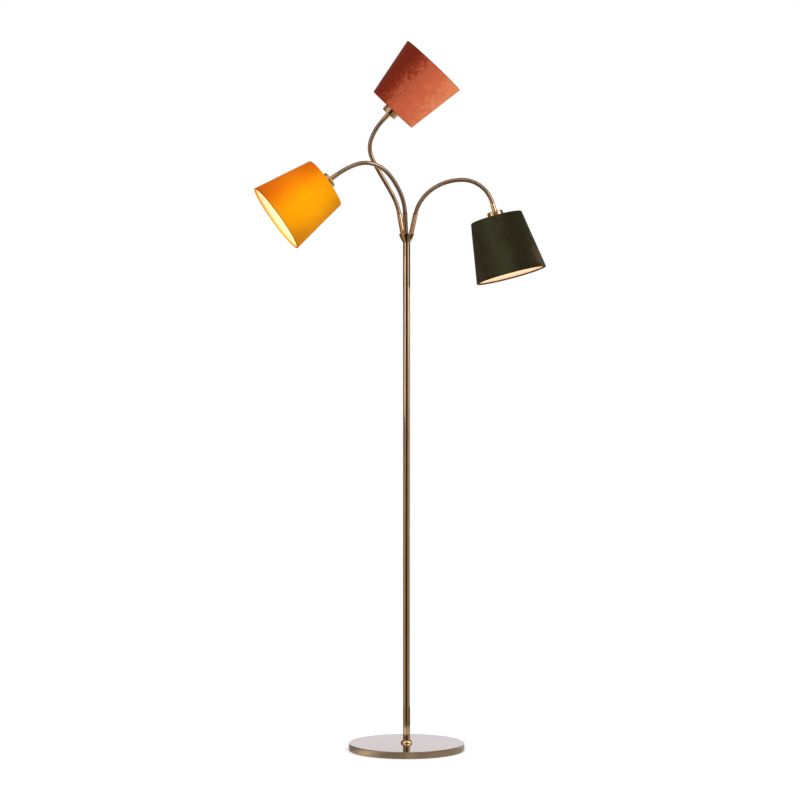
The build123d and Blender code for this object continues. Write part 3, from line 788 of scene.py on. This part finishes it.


# Each velvet's angle and tones give the painted light and painted shade across its shade.
looks = {
    "left": dict(
        velvet=dict(
            angle=facing(ARMS["left"], (0.566, 0, -0.825)),
            tones_with_painted_light=[
                (-0.90, srgb(204, 86, 0)),
                (-0.60, srgb(224, 104, 0)),
                (-0.38, srgb(236, 122, 0)),
                (-0.20, srgb(245, 142, 0)),
                (0.12, srgb(250, 158, 0)),
                (0.50, srgb(246, 154, 0)),
                (0.62, srgb(238, 152, 2)),
                (0.95, srgb(206, 126, 10)),
            ],
            uneven=(0.20, 0.15, 0.25),
            glow=[
                (0.10, (0.02, 0.010, 0.0, 1)),
                (0.45, (0.20, 0.085, 0.0, 1)),
                (0.66, (0.20, 0.075, 0.0, 1)),
                (1.00, (0.06, 0.018, 0.0, 1)),
            ],
            sheen=0.08,
            tint=(1.0, 0.6, 0.05, 1),
            edge_shade=0.35,
        ),
        hem=(0.45, 0.24, 0.0, 1),
        lining=((0.90, 0.84, 0.66, 1.0), (0.62, 0.33, 0.08, 1.0), 0.55),
    ),
    "top": dict(
        velvet=dict(
            angle=facing(ARMS["top"], (0.742, 0, -0.67)),
            tones_with_painted_light=[
                (-0.75, srgb(118, 35, 17)),
                (-0.45, srgb(132, 43, 22)),
                (-0.30, srgb(152, 60, 34)),
                (-0.08, srgb(184, 85, 56)),
                (0.12, srgb(197, 95, 63)),
                (0.42, srgb(205, 101, 68)),
                (0.74, srgb(222, 118, 79)),
                (0.94, srgb(240, 140, 94)),
            ],
            uneven=(0.30, 0.60, 1.10),
            sheen=0.12,
            tint=(1, 0.5, 0.3, 1),
        ),
        hem=(0.25, 0.03, 0.01, 1),
        lining=((0.90, 0.84, 0.72, 1.0), (0.7, 0.45, 0.22, 1.0), 0.45),
    ),
    "right": dict(
        velvet=dict(
            angle=facing(ARMS["right"], (0.97, 0, 0.24)),
            tones_with_painted_light=[
                (-1.05, srgb(58, 47, 32)),
                (-0.85, srgb(45, 42, 26)),
                (-0.28, srgb(58, 56, 37)),
                (0.00, srgb(49, 46, 29)),
                (0.24, srgb(38, 35, 18)),
                (0.62, srgb(39, 35, 18)),
                (0.85, srgb(48, 43, 26)),
                (1.08, srgb(76, 62, 44)),
            ],
            uneven=(0.70, 0.70, 0.35),
            sheen=0.03,
            tint=(0.7, 0.6, 0.4, 1),
        ),
        hem=(0.07, 0.012, 0.002, 1),
        lining=((0.90, 0.84, 0.72, 1.0), (0.62, 0.30, 0.12, 1.0), 0.60),
    ),
}

dressed = {
    "arm_tube": bronze_stem,
    "ferrule": bronze_cup,
    "cup": bronze_cup,
    "lampholder": holder_plastic,
    "shade_ring": holder_plastic,
    "shade_frame": frame_wire,
}
for arm_name, arm in ARMS.items():
    for part, made in dressed.items():
        dress(f"{arm_name}_{part}", made)
    make_neck(arm_name, arm)
    make_lead(arm_name, arm)
    make_painted_shadow_ring(arm_name, arm)
    look = looks[arm_name]
    head = arm["head"]
    pile = velvet(f"velvet_{arm_name}", head, **look["velvet"])
    hem = velvet(f"hem_{arm_name}", head, hem=look["hem"], **look["velvet"])
    make_velvet(arm_name, arm, pile, hem)
    make_liner(arm_name, arm, lining(f"lining_{arm_name}", head, *look["lining"]))
    make_bulb(arm_name, arm)


# ---------------------------------------------------------------- studio
WORLD_LIGHT = 0.85
FLOOR_GLOW = 0.32
CARD_REACH = 5.0
CARD_TOP = 4.5
CARD_LIFT = 0.0008  # above the floor
CARD_STEP = 6  # degrees
NEAR_RING = (0.15, 0.38)
WARM = (1.0, 0.74, 0.50)
FAINTLY_WARM = (1.0, 0.97, 0.93)
COOL = (0.86, 1.0, 1.15)
SKY = (1.02, 1.06, 1.18)


def seen_directly(made):
    """1 for rays from the camera, from a mirror or through glass, and 0 for plain light."""
    rays = node(made, "ShaderNodeLightPath").outputs
    either = arithmetic(made, "MAXIMUM", rays["Is Camera Ray"], rays["Is Glossy Ray"])
    return arithmetic(made, "MAXIMUM", either, rays["Is Transmission Ray"])


def make_world():
    """Even light on the lamp, and plain white where it is seen."""
    world = bpy.data.worlds.new("studio")
    world.use_nodes = True
    bpy.context.scene.world = world
    background = world.node_tree.nodes["Background"]
    background.inputs["Color"].default_value = (1, 1, 1, 1)
    seen = seen_directly(world)
    strength = arithmetic(world, "MULTIPLY_ADD", seen, 1 - WORLD_LIGHT, WORLD_LIGHT)
    world.node_tree.links.new(strength, background.inputs["Strength"])


def make_floor():
    """Pale floor that stays white to the eye but keeps the shadow."""
    made = material(
        "floor", grey(0.82), 1.0, Specular_IOR_Level=0.0, Emission_Color=(1, 1, 1, 1)
    )
    glow = arithmetic(made, "MULTIPLY", seen_directly(made), FLOOR_GLOW)
    shader_link(made, "Emission Strength", glow)
    size = 14.0
    corners = [(-size, -size, 0), (size, -size, 0), (size, size, 0), (-size, size, 0)]
    floor = piece("floor", corners, [(0, 1, 2, 3)], made)


def card_material(name, levels, tint):
    """Plain light of one brightness, or of one that changes with the height in metres."""
    made = bpy.data.materials.new(name)
    made.use_nodes = True
    tree = made.node_tree
    tree.nodes.remove(tree.nodes["Principled BSDF"])
    stops = [(z / CARD_TOP, (*[c * light for c in tint], 1.0)) for z, light in levels]
    colour = stops[0][1]
    if len(stops) > 1:
        height = height_in(made, place_in(made))
        colour = ramp(made, arithmetic(made, "DIVIDE", height, CARD_TOP), stops)
    light = node(made, "ShaderNodeEmission", [("Color", colour)])
    tree.links.new(light.outputs[0], tree.nodes["Material Output"].inputs["Surface"])
    return made


def show_to_metal_only(card):
    """Leaves a studio card to mirror rays alone."""
    card.visible_camera = card.visible_diffuse = card.visible_shadow = False
    card.visible_transmission = card.visible_volume_scatter = False


def make_card(name, first, last, levels, tint=(1, 1, 1), top=CARD_TOP):
    """A strip on the floor and the wall at its end, between two bearings in degrees from the
    camera's side of the lamp towards its right. levels are pairs of a height up the wall in
    metres and a brightness, from the lowest; there is no strip if the first isn't at the floor."""
    low = levels[0][0]
    on_floor = low == 0
    rows = []
    for angle in np.radians(np.linspace(first, last, max(2, round((last - first) / CARD_STEP)))):
        aim = np.array([sin(angle), -cos(angle), 0])
        foot = aim * CARD_REACH + (0, 0, low + CARD_LIFT)
        start = aim * NEAR_RING[1] + (0, 0, CARD_LIFT) if on_floor else foot
        rows.append([start, foot, aim * CARD_REACH + (0, 0, top)])
    faces = []
    for i in range(0, 3 * (len(rows) - 1), 3):
        for k in (i, i + 1) if on_floor else (i + 1,):
            faces.append((k, k + 1, k + 4, k + 3))
    made = card_material(name, levels, tint)
    show_to_metal_only(piece(name, np.reshape(rows, (-1, 3)), faces, made))


def make_ring(name, first, last, inner, outer, height, brightness, tint):
    """A level ring, or the part of it between two bearings."""
    points, faces = [], []
    count = max(2, round((last - first) / CARD_STEP) + 1)
    bearings = np.radians(np.linspace(first, last, count))
    for angle in bearings:
        for radius in (inner, outer):
            points.append((radius * sin(angle), -radius * cos(angle), height))
    for k in range(0, 2 * len(bearings) - 2, 2):
        faces.append((k, k + 1, k + 3, k + 2))
    made = card_material(name, [(height, brightness)], tint)
    show_to_metal_only(piece(name, points, faces, made))


def make_light(name, place, target, size, radiance):
    """A soft box, its power worked out from how bright its face is."""
    data = bpy.data.lights.new(name, "AREA")
    data.shape = "RECTANGLE"
    data.size, data.size_y = size
    data.energy = radiance * pi * size[0] * size[1]
    light = bpy.data.objects.new(name, data)
    light.location = place
    aim = Vector(target) - Vector(place)
    light.rotation_euler = aim.to_track_quat("-Z", "Y").to_euler()
    bpy.context.scene.collection.objects.link(light)


make_world()
make_floor()
make_card("card_camera", -21, 16, [(0, 0.02), (1.6, 0.03), (1.9, 0.2), (2.4, 0.9)], WARM)
make_card("card_front_right", 16, 47, [(0, 0.5), (0.8, 0.35)], WARM)
make_card("card_right", 47, 86, [(0, 0.45), (0.8, 0.7), (1.4, 2.0)])
make_card("card_side", 86, 122, [(0, 1.0), (0.8, 0.9), (1.4, 0.75), (2.2, 0.3)], COOL)
make_card("card_front_left", -52, -21, [(0, 0.2), (0.9, 0.65), (1.6, 1.1)], COOL)
make_card("card_left", -90, -52, [(0, 1.0), (0.4, 0.9), (0.8, 0.45), (1.4, 0.2)], WARM)
make_card("card_rear_left", -157, -90, [(0, 0.22)], WARM)
make_card("card_rear", 122, 250, [(1.4, 0.12), (2.2, 0.2)], WARM)
make_card("card_back", 140, 220, [(0.3, 1.0)], SKY, top=1.38)
make_ring("card_ceiling", 0, 360, 0.01, CARD_REACH, CARD_TOP, 0.35, WARM)
below_ceiling = CARD_TOP - CARD_LIFT
make_ring("card_front_ceiling", -70, 70, 1.1, CARD_REACH, below_ceiling, 1.1, FAINTLY_WARM)
# What the rim of the base mirrors: the floor next to it, brighter on the left.
bearings = [-150, -76, -62, -46, -34, 0, 14, 150, 210]
brightnesses = [0.5, 1.3, 1.9, 1.1, 0.72, 1.0, 0.78, 0.6]
for index, brightness in enumerate(brightnesses):
    first, last = bearings[index], bearings[index + 1]
    make_ring(f"card_near_{index}", first, last, *NEAR_RING, CARD_LIFT, brightness, FAINTLY_WARM)
make_ring("card_under_hub", 60, 285, NEAR_RING[1], 0.75, CARD_LIFT * 1.5, 0.25, WARM)
make_light("key", (2.1, -1.5, 2.35), (0, 0, 1.35), (1.0, 1.4), 5.2)
make_light("fill", (-2.4, -1.6, 1.6), (0, 0, 1.2), (0.8, 1.6), 2.9)

# The camera's place and lens come from the base's ellipse and the level horizon in the photo.
camera_data = bpy.data.cameras.new("camera")
camera_data.lens = 95.79
camera_data.sensor_width = 36.0
camera = bpy.data.objects.new("camera", camera_data)
camera.location = (-0.0164, -5.296, 0.870)
camera.rotation_euler = (radians(90), 0, 0)
bpy.context.scene.collection.objects.link(camera)
bpy.context.scene.camera = camera
bpy.context.scene.view_settings.view_transform = "Standard"
